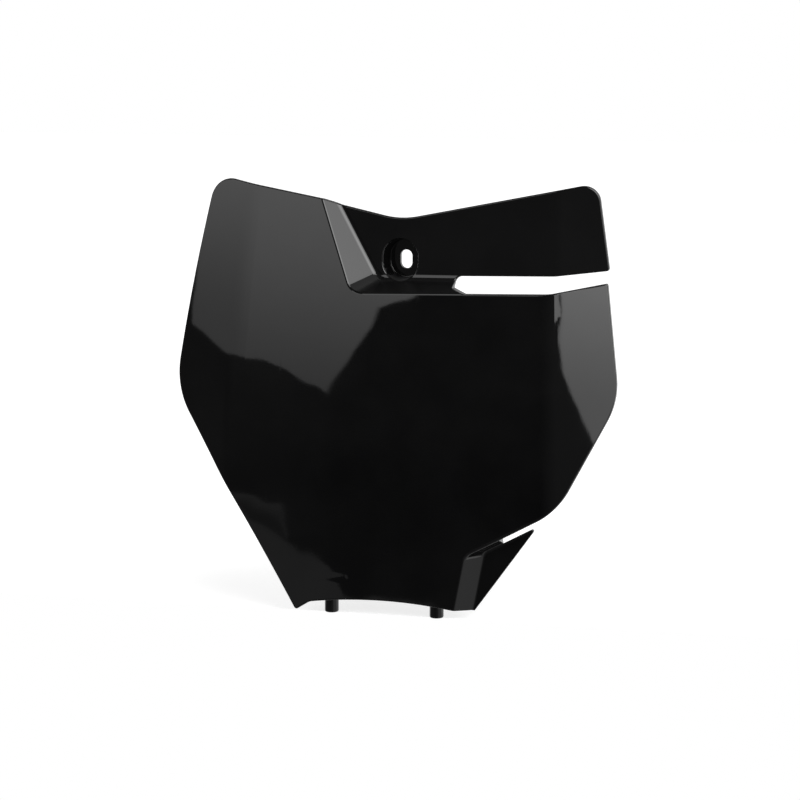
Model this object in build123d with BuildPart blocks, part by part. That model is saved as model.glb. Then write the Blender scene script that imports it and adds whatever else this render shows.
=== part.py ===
from build123d import *
from math import atan2, cos, degrees, radians, tan
import os

# Racing number board for the front of an off-road motorbike, moulded in one piece with an even wall.
# The origin is the middle of the screw slot on the rear face of the screw well, which seats on the bracket.
# X runs to the right as the front is seen, Y to the rear and Z up. Sizes are in millimetres and degrees.

# Wall of the moulding
wall = 2.5

# Front of the board: a flat middle that leans back, with a wing folded back at each side
rake = 9
fold_x = 87
fold_lean = 3
wing_angle = 20
fold_radius = 30

# Outline seen from the front, each corner as x and z
left_top_corner = (-108.4, 45.5)
step_top_front = (-43, 33.8)
step_top_rear = (-33.5, 30.1)
notch = (0, 22.7)
right_top_corner = (110, 44.4)
right_wide_corner = (125.5, -72.2)
tab_heel = (51.2, -187)
bottom_right = (40, -185.8)
bottom_left = (-40, -185.2)
left_tip = (-47.9, -190)
left_wide_corner = (-128.8, -73.6)
left_edge_bow = 1.8
left_low_hollow = 1.6
bottom_arch = 2.8
left_top_radius = 13
right_top_radius = 9
step_top_radius = 12
wide_corner_radius = 41
low_corner_radius = 38
notch_radius = 45
tip_radius = 1.6
bottom_left_radius = 6
bottom_right_radius = 60

# Recess for the hose: a set-back floor that carries on to the right as the ear
ledge_depth = 14.2
ledge_front_z = -16.6
ledge_rise = 6.2
ledge_tilt = 1.15
step_foot = (-12.2, -10.2)
step_lean = 28.5
step_draft = 44
recess_corner_radius = 11
recess_root_radius = 5
ear_fold_x = 87.5
ear_angle = 12

# Hose slot, cut through the ledge between the ear and the board, with a ramp at its closed end
slot_end_x = 31.6
slot_below_ledge = 0.4
slot_wing_slope = 11
slot_height = 8.6
slot_ear_slope = 6.5
slot_end_radius = 3.8
slot_ramp_run = 8.4
slot_ramp_rise = 2.8
slot_ramp_radius = 1
slot_mouth_radius = 1.5

# Screw well in the recess, with an upright slot for the screw
well_width = 20.8
well_height = 23.8
well_depth = 12.3
well_z = 0.6
well_draft = 4
well_root_radius = 0.5
well_rim_radius = 1
screw_slot_width = 6.8
screw_slot_height = 10.4

# Tab at the lower right, set back behind the board so that the hose can pass in front of it
tab_set_back = 10
tab_step_x = 47
tab_step_lean = 9
tab_step_draft = 38
tab_top_draft = 4
tab_corner_radius = 4
tab_root_radius = 2
tab_tip_x = 84.6
tab_tip_radius = 1

# Slit between the tab and the lower right edge of the board, along one line through a point
slit_point = (66.3, -146.8)
slit_angle = 27.8
slit_gap = 2.7
slit_end_x = 65.4
low_corner_x = 96.8
slit_mouth_x = 84.8

# Locating pegs, each under a shelf behind the bottom edge
peg_spacing = 60
peg_diameter = 7.7
peg_tip_z = -191.9
peg_tip_round = 1
peg_clearance = 1
shelf_z = -171.5
shelf_width = 26
shelf_thickness = 2.5
shelf_overhang = 3
shelf_corner_radius = 4
gusset_thickness = 2
gusset_height = 13
gusset_spacing = 17

# Rounded ridges, where the front turns into the steps of the recess and the tab, and rounded front rim
ridge_radius = 1.8
rim_radius = 0.8

# Planes that the features are drawn on
recess_front = wall + well_depth
board_front = recess_front + ledge_depth
reach = 2 * (right_wide_corner[0] - left_wide_corner[0])
recess_plane = Plane.XZ.offset(recess_front)
front_plane = Plane(Location((0, -board_front, ledge_front_z)) * Rot(90 - rake, 0, 0))
ledge_angle = degrees(atan2(ledge_rise, ledge_depth))
ledge_line = Location((0, -board_front, ledge_front_z)) * Rot(0, -ledge_tilt, 0)
ledge_plane = Plane(ledge_line * Rot(ledge_angle, 0, 0))
step_line = recess_plane.location * Pos(step_foot[0], step_foot[1], 0) * Rot(0, 0, step_lean)
step_plane = Plane(step_line * Rot(0, 90 - step_draft, 0))
tab_plane = front_plane.offset(-tab_set_back)


def slit_z(x):
    # Height of the slit's upper edge, seen from the front
    return slit_point[1] + (x - slit_point[0]) * tan(radians(slit_angle))


def on_front(x, z):
    # Place on the leaning front plane that is seen at x and z from the front
    return front_plane.location * Pos(x, (z - ledge_front_z) / cos(radians(rake)), 0)


def front_y(z):
    # Depth of the leaning front plane at a height
    return -board_front + (z - ledge_front_z) * tan(radians(rake))


slit_drop = slit_gap / cos(radians(slit_angle))
slit_line = on_front(slit_point[0], slit_point[1]) * Rot(0, 0, slit_angle)
tab_top_plane = Plane(slit_line * Rot(90 - tab_top_draft, 0, 0))
tab_step_line = on_front(tab_step_x, slit_z(tab_step_x)) * Rot(0, 0, -tab_step_lean)
tab_step_plane = Plane(tab_step_line * Rot(0, 90 - tab_step_draft, 0))


def wing_plane(side):
    # Front of one wing, hinged about its fold line
    fold = front_plane.location * Pos(side * fold_x, 0, 0) * Rot(0, 0, side * fold_lean)
    return Plane(fold * Rot(0, side * wing_angle, 0))


def crossing(plane_a, plane_b):
    # Direction of the line where two planes meet
    return Axis((0, 0, 0), plane_a.z_dir.cross(plane_b.z_dir))


def board_space(inset):
    # All that lies behind the folded front of the board, moved into the wall by inset
    with BuildPart() as space:
        with BuildSketch(front_plane.offset(-inset)):
            Rectangle(reach, reach)
        extrude(amount=-reach)
        for side in (-1, 1):
            split(bisect_by=wing_plane(side).offset(-inset), keep=Keep.BOTTOM)
        front_face = space.faces().sort_by(Axis.Y)[0]
        fillet(front_face.edges().filter_by(Axis.X, reverse=True), radius=fold_radius - inset)
    return space.part


def recess_space(inset):
    # Open space in front of the recess floor and the ear, above the ledge and right of the diagonal step
    floor_y = inset - recess_front
    fold_point = (ear_fold_x - inset * tan(radians(ear_angle / 2)), floor_y)
    ear_end_y = floor_y + (reach - fold_point[0]) * tan(radians(ear_angle))
    with BuildPart() as space:
        with BuildSketch(Plane.XY.offset(-reach)) as plan:
            with BuildLine():
                Polyline(
                    (-reach, -reach),
                    (-reach, floor_y),
                    fold_point,
                    (reach, ear_end_y),
                    (reach, -reach),
                    close=True,
                )
            make_face()
            fillet(plan.vertices().sort_by_distance(fold_point)[0], radius=fold_radius - inset)
        extrude(amount=2 * reach)
        split(bisect_by=step_plane.offset(-inset), keep=Keep.TOP)
        split(bisect_by=ledge_plane.offset(-inset), keep=Keep.TOP)
        corner_edges = space.edges().filter_by(crossing(step_plane, ledge_plane))
        fillet(corner_edges, radius=recess_corner_radius + inset)
        floor_edges = space.faces().filter_by(Axis.Y).sort_by(Axis.Y)[-1].edges()
        step_root = floor_edges.filter_by(crossing(step_plane, recess_plane))
        ledge_root = floor_edges.filter_by(crossing(ledge_plane, recess_plane))
        fillet(step_root + ledge_root, radius=recess_root_radius + inset)
    return space.part


def well_space(inset):
    # Cup for the screw head, sunk behind the recess floor and open to the front through the ledge's root
    with BuildPart() as space:
        with BuildSketch(recess_plane.offset(recess_root_radius)):
            with Locations((0, well_z)):
                SlotOverall(well_height + 2 * inset, well_width + 2 * inset, rotation=90)
        extrude(amount=-(recess_root_radius + well_depth + inset), taper=well_draft)
        fillet(space.faces().sort_by(Axis.Y)[-1].edges(), radius=well_root_radius + inset)
    return space.part


def tab_space(inset):
    # Open space in front of the tab, right of its step and below the slit's line
    with BuildPart() as space:
        with BuildSketch(tab_plane.offset(-inset)):
            Rectangle(reach, 2 * reach)
        extrude(amount=reach)
        split(bisect_by=tab_step_plane.offset(-inset), keep=Keep.TOP)
        split(bisect_by=tab_top_plane.offset(-inset), keep=Keep.TOP)
        corner_edges = space.edges().filter_by(crossing(tab_step_plane, tab_top_plane))
        fillet(corner_edges, radius=tab_corner_radius + inset)
        floor_edges = space.faces().filter_by(tab_plane).sort_by(Axis.Y)[-1].edges()
        step_root = floor_edges.filter_by(crossing(tab_step_plane, tab_plane))
        top_root = floor_edges.filter_by(crossing(tab_top_plane, tab_plane))
        fillet(step_root + top_root, radius=tab_root_radius + inset)
    return space.part


def skin(inset):
    # Solid behind the front surface of the whole moulding, moved into the wall by inset
    with BuildPart() as solid:
        add(board_space(inset))
        for space in (recess_space(inset), well_space(inset), tab_space(inset)):
            add(space, mode=Mode.SUBTRACT)
    return solid.part


def slot_corners():
    # Corners of the gap between the ear and the board, seen from the front, open at the right
    ledge_slope = tan(radians(ledge_tilt))
    run = right_wide_corner[0] - fold_x
    low_z = ledge_front_z + slot_end_x * ledge_slope - slot_below_ledge
    fold_z = ledge_front_z + fold_x * ledge_slope - slot_below_ledge
    return {
        "ramp_foot": (slot_end_x + slot_ramp_run, low_z + slot_ramp_run * ledge_slope),
        "low_fold": (fold_x, fold_z),
        "low_end": (right_wide_corner[0], fold_z + run * tan(radians(slot_wing_slope))),
        "high_end": (right_wide_corner[0], fold_z + slot_height + run * tan(radians(slot_ear_slope))),
        "high_fold": (ear_fold_x, fold_z + slot_height),
        "high_start": (slot_end_x, low_z + slot_height),
        "ramp_top": (slot_end_x, low_z + slot_ramp_rise),
    }


def slit_corners(bottom, top):
    # Corners of a strip along the slit between two heights from its upper edge, seen from the front
    return (
        (slit_end_x, slit_z(slit_end_x) + top),
        (reach, slit_z(reach) + top),
        (reach, slit_z(reach) + bottom),
        (slit_end_x, slit_z(slit_end_x) + bottom),
    )


def hose_passage():
    # Space behind the board above the slit, where the wall over the tab is left out for the hose
    with BuildPart() as space:
        add(board_space(wall))
        with BuildSketch(Plane.XZ):
            with BuildLine():
                Polyline(*slit_corners(0, 2 * wall), close=True)
            make_face()
        extrude(amount=reach, both=True, mode=Mode.INTERSECT)
    return space.part


def outline():
    # Edge of the whole moulding seen from the front, with the gaps of the slot and the slit
    low_corner = (low_corner_x, slit_z(low_corner_x))
    slit_mouth = (slit_mouth_x, slit_z(slit_mouth_x))
    tab_tip = (tab_tip_x, slit_z(tab_tip_x) - slit_drop)
    corner_radii = (
        (left_top_corner, left_top_radius),
        (step_top_front, step_top_radius),
        (step_top_rear, step_top_radius),
        (right_top_corner, right_top_radius),
        (notch, notch_radius),
        (right_wide_corner, wide_corner_radius),
        (low_corner, low_corner_radius),
        (left_wide_corner, wide_corner_radius),
        (left_tip, tip_radius),
        (bottom_left, bottom_left_radius),
        (bottom_right, bottom_right_radius),
    )
    slot = slot_corners()
    gap_radii = (
        (slot["high_start"], slot_end_radius),
        (slot["ramp_top"], slot_ramp_radius),
        (slot["ramp_foot"], slot_ramp_radius),
        (slot["low_fold"], fold_radius),
        (slot["high_fold"], fold_radius),
        (tab_tip, tab_tip_radius),
    )
    with BuildSketch(Plane.XZ) as face:
        with BuildLine():
            Polyline(left_top_corner, step_top_front, step_top_rear, notch, right_top_corner)
            Polyline(right_top_corner, right_wide_corner, low_corner, slit_mouth)
            Polyline(slit_mouth, tab_tip, tab_heel, bottom_right)
            SagittaArc(bottom_right, bottom_left, -bottom_arch)
            Line(bottom_left, left_tip)
            SagittaArc(left_tip, left_wide_corner, -left_low_hollow)
            SagittaArc(left_wide_corner, left_top_corner, left_edge_bow)
        make_face()
        for corner, radius in corner_radii:
            fillet(face.vertices().sort_by_distance(corner)[0], radius=radius)
        for corners in (slot.values(), slit_corners(-slit_drop, 0)):
            with BuildLine():
                Polyline(*corners, close=True)
            make_face(mode=Mode.SUBTRACT)
        for corner, radius in gap_radii:
            fillet(face.vertices().sort_by_distance(corner)[0], radius=radius)
        beside_slot = face.vertices().filter_by_position(Axis.Y, slot["low_fold"][1], slot["high_end"][1])
        fillet(beside_slot.sort_by(Axis.X)[-2:], radius=slot_mouth_radius)
    return face.sketch


def peg_shelf():
    # Shelf with two gussets and a peg, placed for the right-hand peg
    peg_x = peg_spacing / 2
    peg_y = front_y(shelf_z) + wall / cos(radians(rake)) + peg_clearance + peg_diameter / 2
    shelf_rear = peg_y + peg_diameter / 2 + shelf_overhang
    shelf_top = shelf_z + shelf_thickness
    with BuildPart() as lug:
        with BuildSketch(Plane.XY.offset(shelf_z)) as shelf:
            with Locations((peg_x, shelf_rear)):
                Rectangle(shelf_width, shelf_rear - front_y(shelf_z), align=(Align.CENTER, Align.MAX))
            fillet(shelf.vertices().group_by(Axis.Y)[-1], radius=shelf_corner_radius)
        extrude(amount=shelf_thickness)
        for side in (-1, 1):
            with BuildSketch(Plane.YZ.offset(peg_x + side * gusset_spacing / 2)):
                with BuildLine():
                    Polyline(
                        (front_y(shelf_top), shelf_top),
                        (peg_y, shelf_top),
                        (front_y(shelf_top + gusset_height) + wall, shelf_top + gusset_height),
                        (front_y(shelf_top + gusset_height), shelf_top + gusset_height),
                        close=True,
                    )
                make_face()
            extrude(amount=gusset_thickness / 2, both=True)
        split(bisect_by=front_plane.offset(-wall / 2), keep=Keep.BOTTOM)
        with BuildSketch(Plane.XY.offset(shelf_z)):
            with Locations((peg_x, peg_y)):
                Circle(peg_diameter / 2)
        extrude(amount=peg_tip_z - shelf_z)
        fillet(lug.faces().sort_by(Axis.Z)[0].edges(), radius=peg_tip_round)
    return lug.part


with BuildPart() as number_board:
    add(skin(0))
    front_face = number_board.faces().filter_by(front_plane).sort_by_distance(front_plane.origin)[0]
    ridges = front_face.edges().filter_by(crossing(front_plane, step_plane))
    ridges += front_face.edges().filter_by(crossing(front_plane, tab_step_plane))
    fillet(ridges, radius=ridge_radius)
    recess_floor = number_board.faces().filter_by(recess_plane).sort_by(Axis.Y)[0]
    fillet(recess_floor.edges().filter_by(GeomType.CIRCLE), radius=well_rim_radius)
    add(skin(wall), mode=Mode.SUBTRACT)
    extrude(outline(), amount=reach, both=True, mode=Mode.INTERSECT)
    add(hose_passage(), mode=Mode.SUBTRACT)
    with BuildSketch(Plane.XZ):
        SlotOverall(screw_slot_height, screw_slot_width, rotation=90)
    extrude(amount=recess_front, mode=Mode.SUBTRACT)
    # The edges of the front rim run on smoothly, so its rounding carries on from the middle of the bottom
    bottom_middle = on_front(0, bottom_left[1] + bottom_arch).position
    fillet(number_board.edges().sort_by_distance(bottom_middle)[0], radius=rim_radius)
    add(peg_shelf())
    add(mirror(peg_shelf(), about=Plane.YZ))

os.makedirs("parts", exist_ok=True)
number_board.part.label = "number_board"
export_step(number_board.part, "parts/number_board.step")
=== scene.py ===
from math import cos, pi, radians, sin

import bpy
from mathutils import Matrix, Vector


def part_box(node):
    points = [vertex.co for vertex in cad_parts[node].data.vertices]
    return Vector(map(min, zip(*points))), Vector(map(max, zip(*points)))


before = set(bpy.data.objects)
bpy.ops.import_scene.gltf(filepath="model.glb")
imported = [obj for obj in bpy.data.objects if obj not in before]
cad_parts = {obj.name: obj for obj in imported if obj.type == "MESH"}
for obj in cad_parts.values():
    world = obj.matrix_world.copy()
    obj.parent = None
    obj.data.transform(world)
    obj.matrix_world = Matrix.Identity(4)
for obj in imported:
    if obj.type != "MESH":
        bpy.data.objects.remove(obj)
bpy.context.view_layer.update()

# Camera, in the frame of the board and in metres
CAMERA_PLACE = Vector((0.4982, -1.6970, 0.1537))
CAMERA_TARGET = Vector((0.0099, -0.0486, -0.0726))
CAMERA_LENS_MM = 144
SENSOR_MM = 36

# White paper that the board stands on, from the line of the pegs to the rear, in metres
FLOOR_LEFT_RIGHT = 3.0
FLOOR_FRONT = -0.046
FLOOR_BACK = 5.0
FLOOR_WHITE = (0.55, 0.55, 0.55, 1)
FLOOR_ROUGHNESS = 0.9
FLOOR_SPECULAR = 0.0

# Light of the paper's own that only the camera, gloss and glass see: less near the board, to leave a shadow
FLOOR_LIFT = (0.69, 1.0)
FLOOR_LIFT_RADII = (0.215, 0.32)

# White backdrop behind the board: it rises and fades while a unit direction's Y and Z cross these spans
WHITE = (1, 1, 1, 1)
BACKDROP_BEHIND = (0.1, 0.4)
BACKDROP_TOP = (0.45, 0.6)

# The dim room in front: its grey for each elevation, and what is added for each azimuth, both in degrees
DEGREES_IN_RADIAN = 180 / pi
ROOM_GREYS = (0, 1)
ROOM_ELEVATIONS = (-20, 80)
ROOM_BY_ELEVATION = [(-20, 0.09), (-2, 0.09), (4, 0.05), (7, 0.05), (8, 0.034), (9.5, 0.066), (80, 0.08)]
ROOM_AZIMUTHS = (-40, 100)
ROOM_BY_AZIMUTH = [(-40, 0.05), (-18.3, 0.036), (-18, 0.01), (-10, 0), (5, 0.03), (20, 0.07), (32, 0.07),
                   (55, 0.47), (100, 0.47)]

# Two paler low parts of the room at the left: azimuth and elevation of their upper edges, in degrees
LOW_AZIMUTHS = (-25, -10)
LOW_ELEVATIONS = (0, 10)
LOW_EDGE = [(-25, 0), (-22, 8.9), (-17.6, 6.7), (-17.2, 6.15), (-13, 6.15), (-12.8, 0), (-10, 0)]
LOW_SOFT = 0.1
LOW_BOTTOM = (3.5, 4.5)
LOW_GREY = 0.26
CREST_EDGE = [(-25, 0), (-20, 7.85), (-18.6, 7.7), (-18.3, 7.2), (-18.1, 0), (-10, 0)]
CREST_SOFT = 0.05
CREST_FADE = 0.2
CREST_GREY = (0.28, 0.11)

# Softboxes face this point, by azimuth from the front, positive to the right, and elevation, in degrees
LIGHT_CENTRE = Vector((0.0, -0.03, -0.06))
LIGHT_DISTANCE = 1.6

# Left softbox: the runs of its lower and right edges, its left end and its fade, in metres from its middle
LEFT_AZIMUTH = -40
LEFT_ELEVATION = 25
LEFT_SIZE = (2.0, 1.3)
LEFT_LOWER_EDGE = [(-1, -0.22), (-0.66, -0.477), (0.545, -0.406), (1, -0.54)]
LEFT_LOWER_SOFT = 0.003
LEFT_SIDE_EDGE = [(-0.65, 0.54), (-0.35, 0.658), (-0.325, 0.66), (-0.307, 0.7), (0.65, 0.95)]
LEFT_SIDE_SOFT = 0.008
LEFT_END = (-0.7, -0.697)
LEFT_FADE = (-0.46, -0.18)
LEFT_BRIGHTNESS = (0.62, 1.85)

# Right softbox: the run of its left edge, its fades and its hot centre, in metres from its middle
RIGHT_AZIMUTH = 45
RIGHT_ELEVATION = 25
RIGHT_SIZE = (1.9, 1.4)
RIGHT_SIDE_EDGE = [(-0.7, -0.32), (-0.42, -0.42), (-0.374, -0.432), (-0.334, -0.43), (-0.29, -0.42),
                   (0.7, -0.42)]
RIGHT_SIDE_SOFT = 0.004
RIGHT_RISE = (-0.42, -0.25)
RIGHT_RISE_LEVEL = (0.8, 1.27)
RIGHT_FADE = (-0.38, 0.57)
RIGHT_BRIGHTNESS = (2.15, 2.3)
RIGHT_HOT_CENTRE = (0.05, 0.12)
RIGHT_HOT_RADIUS = 0.75
RIGHT_HOT_BRIGHTNESS = 4.0

# Narrow strip left of the right softbox
STRIP_AZIMUTH = 26.64
STRIP_ELEVATION = 22.5
STRIP_SIZE = (0.188, 0.5)
STRIP_BRIGHTNESS = 2.6

# Black plastic: textures by how many cells they have in a metre, depths in metres
PLASTIC_IOR = 1.5
PLASTIC_BLACK = (0.0012, 0.0012, 0.0013, 1)
PLASTIC_PALE = (0.0024, 0.0024, 0.0025, 1)
NOISE_SPAN = (0.3, 0.7)
CLOUD_SCALE = 35
CLOUD_DETAIL = 3
FRONT_ROUGHNESS = (0.012, 0.022)
HAZE_SCALE = 22
HAZE_DETAIL = 4
WIPE_TURN = (0.0, 0.6, 0.0)
WIPE_STRETCH = (1.0, 1.0, 0.06)
WIPE_SCALE = 420
WIPE_DETAIL = 2
WIPE_SPAN = (0.62, 0.8)
WIPE_ROUGH = 0.02
WAVE_SCALE = 40
WAVE_DETAIL = 1
WAVE_DEPTH = 24e-6
PEEL_SCALE = 700
PEEL_DETAIL = 2
PEEL_DEPTH = 0.4e-6

# Faces that look up are duller, and the rear is left matt by the mould: spans of the normal's Z and Y
UP_FACING = (0.6, 0.85)
UP_ROUGHNESS = 0.4
REAR_FACING = (0.05, 0.3)
REAR_ROUGHNESS = (0.42, 0.55)

# Shallow sink marks in the front, over the shelves that carry the pegs, in metres
SINK_X = 0.03
SINK_Z = -0.1712
SINK_HALF_WIDTH = 0.0125
SINK_RUN = 0.003
SINK_DEPTH = 4.5e-6


def link(tree, a, b):
    tree.links.new(a, b)


def node(tree, kind, **values):
    # One shader node with its settings
    made = tree.nodes.new(kind)
    for key, value in values.items():
        setattr(made, key, value)
    return made


def smooth_range(tree, value, start, end, low=0.0, high=1.0):
    # Runs smoothly from low to high while the value goes from start to end
    made = node(tree, "ShaderNodeMapRange", interpolation_type="SMOOTHSTEP")
    made.inputs["From Min"].default_value = start
    made.inputs["From Max"].default_value = end
    made.inputs["To Min"].default_value = low
    made.inputs["To Max"].default_value = high
    link(tree, value, made.inputs["Value"])
    return made.outputs["Result"]


def combine(tree, operation, a, b):
    # Result of one operation on two values
    made = node(tree, "ShaderNodeMath", operation=operation)
    link(tree, a, made.inputs[0])
    link(tree, b, made.inputs[1])
    return made.outputs[0]


def offset_scale(tree, value, scale, offset):
    # The value times the scale, plus the offset
    made = node(tree, "ShaderNodeMath", operation="MULTIPLY_ADD")
    link(tree, value, made.inputs[0])
    made.inputs[1].default_value = scale
    made.inputs[2].default_value = offset
    return made.outputs[0]


def split_xyz(tree, vector):
    made = node(tree, "ShaderNodeSeparateXYZ")
    link(tree, vector, made.inputs[0])
    return made.outputs["X"], made.outputs["Y"], made.outputs["Z"]


def length(tree, vector):
    made = node(tree, "ShaderNodeVectorMath", operation="LENGTH")
    link(tree, vector, made.inputs[0])
    return made.outputs["Value"]


def soft_step(tree, value, limit, soft):
    # 0 where the value is below the limit and 1 above it, over a soft run
    return smooth_range(tree, combine(tree, "SUBTRACT", value, limit), -soft / 2, soft / 2)


def set_curve(made, places):
    # Straight runs through the places, on a curve node
    curve = made.mapping.curves[0]
    curve.points[0].location = places[0]
    curve.points[-1].location = places[-1]
    for place in places[1:-1]:
        curve.points.new(*place)
    for point in curve.points:
        point.handle_type = "VECTOR"
    made.mapping.extend = "HORIZONTAL"
    made.mapping.update()


def run_through(tree, value, points, span, levels):
    # Straight runs through the points: the values lie in the span and the results in the levels
    width = span[1] - span[0]
    height = levels[1] - levels[0]
    made = node(tree, "ShaderNodeFloatCurve")
    set_curve(made, [((a - span[0]) / width, (b - levels[0]) / height) for a, b in points])
    link(tree, offset_scale(tree, value, 1 / width, -span[0] / width), made.inputs["Value"])
    return offset_scale(tree, made.outputs[0], height, levels[0])


def make_camera():
    data = bpy.data.cameras.new("camera")
    data.lens = CAMERA_LENS_MM
    data.sensor_width = SENSOR_MM
    camera = bpy.data.objects.new("camera", data)
    camera.location = CAMERA_PLACE
    camera.rotation_euler = (CAMERA_TARGET - CAMERA_PLACE).to_track_quat("-Z", "Y").to_euler()
    bpy.context.scene.collection.objects.link(camera)
    bpy.context.scene.camera = camera


def seen_rays(tree):
    # 1 for rays from the camera and for rays off gloss or through glass, else 0
    path = node(tree, "ShaderNodeLightPath")
    seen = combine(tree, "MAXIMUM", path.outputs["Is Camera Ray"], path.outputs["Is Glossy Ray"])
    return combine(tree, "MAXIMUM", seen, path.outputs["Is Transmission Ray"])


def floor_material():
    # Matt white paper that reads as white, with the board's shadow left on it
    material = bpy.data.materials.new("white_sweep")
    material.use_nodes = True
    tree = material.node_tree
    shader = tree.nodes["Principled BSDF"]
    shader.inputs["Base Color"].default_value = FLOOR_WHITE
    shader.inputs["Roughness"].default_value = FLOOR_ROUGHNESS
    shader.inputs["Specular IOR Level"].default_value = FLOOR_SPECULAR
    shader.inputs["Emission Color"].default_value = WHITE
    place = node(tree, "ShaderNodeNewGeometry")
    away = length(tree, place.outputs["Position"])
    lift = smooth_range(tree, away, *FLOOR_LIFT_RADII, *FLOOR_LIFT)
    link(tree, combine(tree, "MULTIPLY", seen_rays(tree), lift), shader.inputs["Emission Strength"])
    return material


def make_floor():
    # Ends at the pegs: in front of them the camera sees the world's white, and the pegs mirror the dim room
    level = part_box("number_board")[0].z
    mesh = bpy.data.meshes.new("floor")
    corners = [
        (-FLOOR_LEFT_RIGHT, FLOOR_FRONT, level),
        (FLOOR_LEFT_RIGHT, FLOOR_FRONT, level),
        (FLOOR_LEFT_RIGHT, FLOOR_BACK, level),
        (-FLOOR_LEFT_RIGHT, FLOOR_BACK, level),
    ]
    mesh.from_pydata(corners, [], [(0, 1, 2, 3)])
    floor = bpy.data.objects.new("floor", mesh)
    floor.data.materials.append(floor_material())
    bpy.context.scene.collection.objects.link(floor)


def low_parts(tree, azimuth, elevation):
    # Grey of the two paler low parts of the room
    top = run_through(tree, azimuth, LOW_EDGE, LOW_AZIMUTHS, LOW_ELEVATIONS)
    under = soft_step(tree, top, elevation, LOW_SOFT)
    over = smooth_range(tree, elevation, *LOW_BOTTOM, 0, LOW_GREY)
    low = combine(tree, "MULTIPLY", under, over)
    crest = run_through(tree, azimuth, CREST_EDGE, LOW_AZIMUTHS, LOW_ELEVATIONS)
    below = combine(tree, "SUBTRACT", crest, elevation)
    faded = smooth_range(tree, below, 0, CREST_FADE, *CREST_GREY)
    lens = combine(tree, "MULTIPLY", soft_step(tree, crest, elevation, CREST_SOFT), faded)
    return combine(tree, "MAXIMUM", low, lens)


def room_grey(tree, azimuth, elevation):
    # Grey of the room in front of the board, for a direction in degrees
    level = run_through(tree, elevation, ROOM_BY_ELEVATION, ROOM_ELEVATIONS, ROOM_GREYS)
    added = run_through(tree, azimuth, ROOM_BY_AZIMUTH, ROOM_AZIMUTHS, ROOM_GREYS)
    room = combine(tree, "ADD", level, added)
    return combine(tree, "MAXIMUM", room, low_parts(tree, azimuth, elevation))


def direction_degrees(tree, east, north, height):
    # Azimuth from the front, positive to the right, and elevation of a direction
    toward = offset_scale(tree, north, -1, 0)
    turn = combine(tree, "ARCTAN2", east, toward)
    rise = node(tree, "ShaderNodeMath", operation="ARCSINE")
    link(tree, height, rise.inputs[0])
    return [offset_scale(tree, angle, DEGREES_IN_RADIAN, 0) for angle in (turn, rise.outputs[0])]


def make_world():
    # White for the camera, and for other rays a white backdrop behind the board and a dim room elsewhere
    world = bpy.data.worlds.new("studio")
    bpy.context.scene.world = world
    world.use_nodes = True
    tree = world.node_tree
    background = tree.nodes["Background"]
    place = node(tree, "ShaderNodeTexCoord")
    east, north, height = split_xyz(tree, place.outputs["Generated"])
    azimuth, elevation = direction_degrees(tree, east, north, height)
    behind = smooth_range(tree, north, *BACKDROP_BEHIND)
    low = smooth_range(tree, height, *BACKDROP_TOP, 1, 0)
    backdrop = combine(tree, "MINIMUM", behind, low)
    path = node(tree, "ShaderNodeLightPath")
    white = combine(tree, "MAXIMUM", backdrop, path.outputs["Is Camera Ray"])
    level = combine(tree, "MAXIMUM", white, room_grey(tree, azimuth, elevation))
    background.inputs["Color"].default_value = WHITE
    link(tree, level, background.inputs["Strength"])


def softbox(name, azimuth, elevation, size, brightness=1):
    # Area lamp that faces the light centre: its power follows from its brightness and size
    a = radians(azimuth)
    e = radians(elevation)
    away = Vector((sin(a) * cos(e), -cos(a) * cos(e), sin(e)))
    data = bpy.data.lights.new(name, "AREA")
    data.shape = "RECTANGLE"
    data.size = size[0]
    data.size_y = size[1]
    data.energy = brightness * pi * size[0] * size[1]
    lamp = bpy.data.objects.new(name, data)
    lamp.location = LIGHT_CENTRE + away * LIGHT_DISTANCE
    lamp.rotation_euler = away.to_track_quat("Z", "Y").to_euler()
    bpy.context.scene.collection.objects.link(lamp)
    return data


def lamp_places(data):
    # A lamp's node tree, its emission, and the place on the lamp, across and up, in metres from its middle
    data.use_nodes = True
    tree = data.node_tree
    place = node(tree, "ShaderNodeNewGeometry")
    x, y, _ = split_xyz(tree, place.outputs["Parametric"])
    across = offset_scale(tree, x, data.size, -data.size / 2)
    up = offset_scale(tree, y, data.size_y, -data.size_y / 2)
    return tree, tree.nodes["Emission"], across, up


def away_from(tree, across, up, centre):
    # Distance in metres on a lamp from a place that is given from its middle
    gap = node(tree, "ShaderNodeCombineXYZ")
    link(tree, offset_scale(tree, across, 1, -centre[0]), gap.inputs["X"])
    link(tree, offset_scale(tree, up, 1, -centre[1]), gap.inputs["Y"])
    return length(tree, gap.outputs[0])


def half_spans(size):
    # Ends of each side of a lamp, from its middle
    return [(-side / 2, side / 2) for side in size]


def left_softbox():
    wide, high = half_spans(LEFT_SIZE)
    data = softbox("left_softbox", LEFT_AZIMUTH, LEFT_ELEVATION, LEFT_SIZE)
    tree, emission, across, up = lamp_places(data)
    lower = run_through(tree, across, LEFT_LOWER_EDGE, wide, high)
    side = run_through(tree, up, LEFT_SIDE_EDGE, high, wide)
    above = soft_step(tree, up, lower, LEFT_LOWER_SOFT)
    beside = soft_step(tree, side, across, LEFT_SIDE_SOFT)
    past_end = smooth_range(tree, across, *LEFT_END)
    shape = combine(tree, "MULTIPLY", past_end, combine(tree, "MULTIPLY", above, beside))
    light = smooth_range(tree, up, *LEFT_FADE, *LEFT_BRIGHTNESS)
    link(tree, combine(tree, "MULTIPLY", shape, light), emission.inputs["Strength"])


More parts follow.
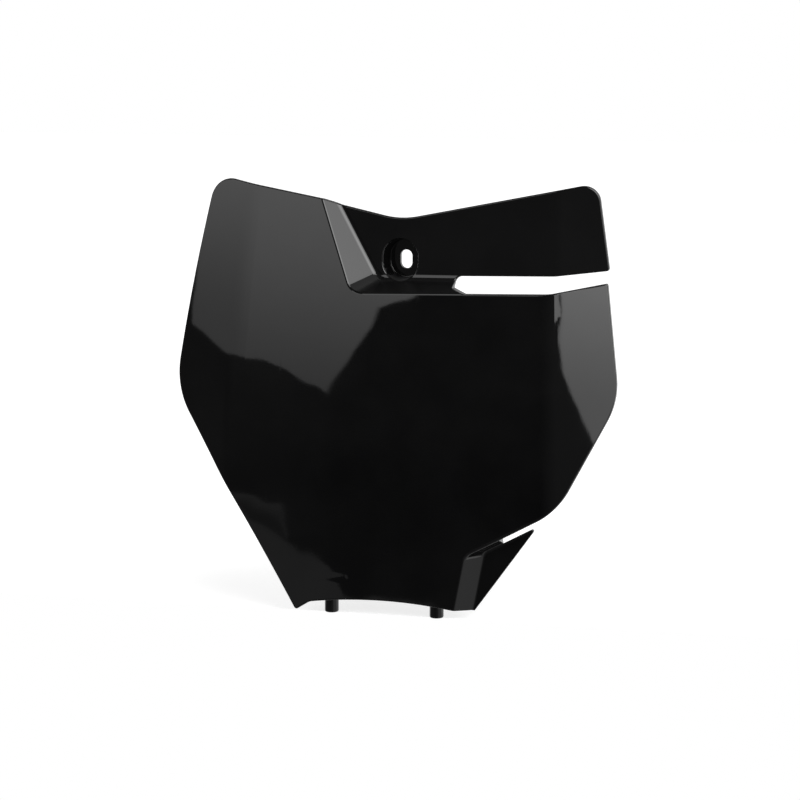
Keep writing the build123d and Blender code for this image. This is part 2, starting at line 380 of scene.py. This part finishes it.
def right_softbox():
    wide, high = half_spans(RIGHT_SIZE)
    data = softbox("right_softbox", RIGHT_AZIMUTH, RIGHT_ELEVATION, RIGHT_SIZE)
    tree, emission, across, up = lamp_places(data)
    side = run_through(tree, up, RIGHT_SIDE_EDGE, high, wide)
    beside = soft_step(tree, across, side, RIGHT_SIDE_SOFT)
    rising = smooth_range(tree, up, *RIGHT_RISE, *RIGHT_RISE_LEVEL)
    fading = smooth_range(tree, across, *RIGHT_FADE, *RIGHT_BRIGHTNESS)
    light = combine(tree, "MULTIPLY", rising, fading)
    away = away_from(tree, across, up, RIGHT_HOT_CENTRE)
    hot = smooth_range(tree, away, 0, RIGHT_HOT_RADIUS, RIGHT_HOT_BRIGHTNESS, 0)
    total = combine(tree, "MULTIPLY", beside, combine(tree, "ADD", light, hot))
    link(tree, total, emission.inputs["Strength"])


def make_lights():
    left_softbox()
    right_softbox()
    softbox("strip", STRIP_AZIMUTH, STRIP_ELEVATION, STRIP_SIZE, STRIP_BRIGHTNESS)


def noise(tree, place, scale, detail):
    made = node(tree, "ShaderNodeTexNoise")
    made.inputs["Scale"].default_value = scale
    made.inputs["Detail"].default_value = detail
    link(tree, place, made.inputs["Vector"])
    return made.outputs["Fac"]


def bump(tree, height, depth, under=None):
    # Normal of a surface that the height shapes, from 0 to the depth in metres, over the surface under it
    made = node(tree, "ShaderNodeBump")
    made.inputs["Distance"].default_value = depth
    link(tree, height, made.inputs["Height"])
    if under is not None:
        link(tree, under, made.inputs["Normal"])
    return made.outputs["Normal"]


def away_by(tree, value, middle):
    # How far the value is from the middle, on either side
    made = node(tree, "ShaderNodeMath", operation="ABSOLUTE")
    link(tree, offset_scale(tree, value, 1, -middle), made.inputs[0])
    return made.outputs[0]


def mix_values(tree, factor, a, b):
    # From a to b as the factor goes from 0 to 1
    made = node(tree, "ShaderNodeMix", data_type="FLOAT")
    link(tree, factor, made.inputs["Factor"])
    link(tree, a, made.inputs["A"])
    link(tree, b, made.inputs["B"])
    return made.outputs["Result"]


def sink_marks(tree, place):
    # Height of the front, which dips from 1 to 0 over each shelf
    x, _, z = split_xyz(tree, place)
    along = away_by(tree, away_by(tree, x, 0), SINK_X)
    wide = smooth_range(tree, along, SINK_HALF_WIDTH - SINK_RUN, SINK_HALF_WIDTH, 1, 0)
    deep = smooth_range(tree, away_by(tree, z, SINK_Z), 0, SINK_RUN, 1, 0)
    return offset_scale(tree, combine(tree, "MULTIPLY", wide, deep), -1, 1)


def pigment(tree, place):
    # Black with slightly paler clouds
    colour = node(tree, "ShaderNodeMix", data_type="RGBA")
    colour.inputs["A"].default_value = PLASTIC_BLACK
    colour.inputs["B"].default_value = PLASTIC_PALE
    clouds = noise(tree, place, CLOUD_SCALE, CLOUD_DETAIL)
    link(tree, smooth_range(tree, clouds, *NOISE_SPAN), colour.inputs["Factor"])
    return colour.outputs["Result"]


def wipe_marks(tree, place):
    # Roughness that thin slanted wipe marks add to the gloss
    stretched = node(tree, "ShaderNodeMapping")
    stretched.inputs["Rotation"].default_value = WIPE_TURN
    stretched.inputs["Scale"].default_value = WIPE_STRETCH
    link(tree, place, stretched.inputs["Vector"])
    marks = noise(tree, stretched.outputs["Vector"], WIPE_SCALE, WIPE_DETAIL)
    return smooth_range(tree, marks, *WIPE_SPAN, 0, WIPE_ROUGH)


def roughness(tree, place, normal):
    # Gloss front with haze and wipe marks, duller where it looks up, and a matt rear
    _, rear_part, up_part = split_xyz(tree, normal)
    haze = noise(tree, place, HAZE_SCALE, HAZE_DETAIL)
    hazed = smooth_range(tree, haze, *NOISE_SPAN, *FRONT_ROUGHNESS)
    front = combine(tree, "ADD", hazed, wipe_marks(tree, place))
    upward = smooth_range(tree, up_part, *UP_FACING, 0, UP_ROUGHNESS)
    gloss = combine(tree, "MAXIMUM", front, upward)
    rear = smooth_range(tree, haze, *NOISE_SPAN, *REAR_ROUGHNESS)
    rearward = smooth_range(tree, rear_part, *REAR_FACING)
    return mix_values(tree, rearward, gloss, rear)


def skin(tree, place):
    # Normal of the moulded skin: long waves, the sink marks over them, and a fine peel on top
    waves = bump(tree, noise(tree, place, WAVE_SCALE, WAVE_DETAIL), WAVE_DEPTH)
    sinks = bump(tree, sink_marks(tree, place), SINK_DEPTH, waves)
    return bump(tree, noise(tree, place, PEEL_SCALE, PEEL_DETAIL), PEEL_DEPTH, sinks)


def plastic_material():
    # Black moulded plastic
    material = bpy.data.materials.new("gloss_black_plastic")
    material.use_nodes = True
    tree = material.node_tree
    shader = tree.nodes["Principled BSDF"]
    shader.inputs["IOR"].default_value = PLASTIC_IOR
    coordinates = node(tree, "ShaderNodeTexCoord")
    place = coordinates.outputs["Object"]
    link(tree, pigment(tree, place), shader.inputs["Base Color"])
    link(tree, roughness(tree, place, coordinates.outputs["Normal"]), shader.inputs["Roughness"])
    link(tree, skin(tree, place), shader.inputs["Normal"])
    return material


def dress_board():
    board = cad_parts["number_board"]
    board.data.materials.clear()
    board.data.materials.append(plastic_material())


make_camera()
make_floor()
make_world()
make_lights()
dress_board()
bpy.context.scene.view_settings.view_transform = "Standard"
